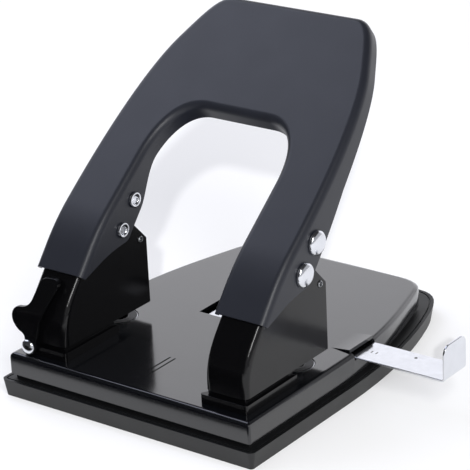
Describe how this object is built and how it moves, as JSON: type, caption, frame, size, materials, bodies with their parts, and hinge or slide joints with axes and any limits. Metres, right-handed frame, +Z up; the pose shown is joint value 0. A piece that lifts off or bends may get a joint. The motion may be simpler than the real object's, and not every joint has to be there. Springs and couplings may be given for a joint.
{
  "type": "heavy two-hole paper punch",
  "caption": "Heavy paper punch with a wide pressed lever handle over a pair of open punch heads, a sliding side guide, a lock lever and a pull-off chip tray.",
  "frame": {"origin": "middle of the chip tray's underside, where the punch stands on the desk", "axes": "+Z up, +Y from the front with the punch heads to the back, +X to the right along the front edge"},
  "size_m": [0.1472, 0.145, 0.124],
  "materials": {
    "table_enamel": "gloss",
    "handle_enamel": "satin",
    "head_enamel": "gloss",
    "tray_plastic": "matte",
    "bright_steel": "polished",
    "grey_steel": "satin",
    "spring_steel": "satin",
    "lever_enamel": "gloss"
  },
  "bodies": {
    "base": {"base_plate": "table_enamel", "guide_runner": "grey_steel", "left_foot_block": "head_enamel", "left_head_frame": "head_enamel", "left_die": "grey_steel", "left_guide_block": "grey_steel", "left_stop_pin": "grey_steel", "left_pivot_rivet": "bright_steel", "left_head_rivet_front": "grey_steel", "left_head_rivet_rear": "grey_steel", "left_return_spring": "spring_steel", "right_foot_block": "head_enamel", "right_head_frame": "head_enamel", "right_die": "grey_steel", "right_guide_block": "grey_steel", "right_stop_pin": "grey_steel", "right_pivot_rivet": "bright_steel", "right_head_rivet_front": "grey_steel", "right_head_rivet_rear": "grey_steel", "right_return_spring": "spring_steel", "lock_rivet": "bright_steel"},
    "tray": {"chip_tray": "tray_plastic"},
    "lever": {"handle": "handle_enamel", "left_drive_rivet": "bright_steel", "right_drive_rivet": "bright_steel"},
    "left_plunger": {"left_punch": "bright_steel", "left_spring_collar": "grey_steel"},
    "right_plunger": {"right_punch": "bright_steel", "right_spring_collar": "grey_steel"},
    "lock": {"lock_lever": "lever_enamel"},
    "guide": {"paper_guide": "bright_steel"}
  },
  "joints": [
    {"name": "handle_press", "type": "hinge", "parent": "base", "child": "lever", "pos_m": [0, -0.0316, 0.0558], "axis": [-1, 0, 0], "range_deg": [0, 48], "stiffness_Nm_per_rad": 0.5, "springref_deg": -29.79},
    {"name": "left_punch_stroke", "type": "slide", "parent": "base", "child": "left_plunger", "axis": [0, 0, -1], "range_m": [0, 0.0088], "deforming": ["left_return_spring"]},
    {"name": "right_punch_stroke", "type": "slide", "parent": "base", "child": "right_plunger", "axis": [0, 0, -1], "range_m": [0, 0.0088], "deforming": ["right_return_spring"]},
    {"name": "lock_swing", "type": "hinge", "parent": "base", "child": "lock", "pos_m": [-0.046, -0.0675, 0.0197], "axis": [0, -1, 0], "range_deg": [0, 18]},
    {"name": "guide_slide", "type": "slide", "parent": "base", "child": "guide", "axis": [1, 0, 0], "range_m": [-0.034, 0.05]},
    {"name": "tray_pull_off", "type": "slide", "parent": "base", "child": "tray", "axis": [0, 0, -1], "range_m": [0, 0.03]}
  ],
  "couplings": [
    {"joint": "left_punch_stroke", "follows": "handle_press", "m_per_rad": 0.010473},
    {"joint": "right_punch_stroke", "follows": "handle_press", "m_per_rad": 0.010473}
  ]
}
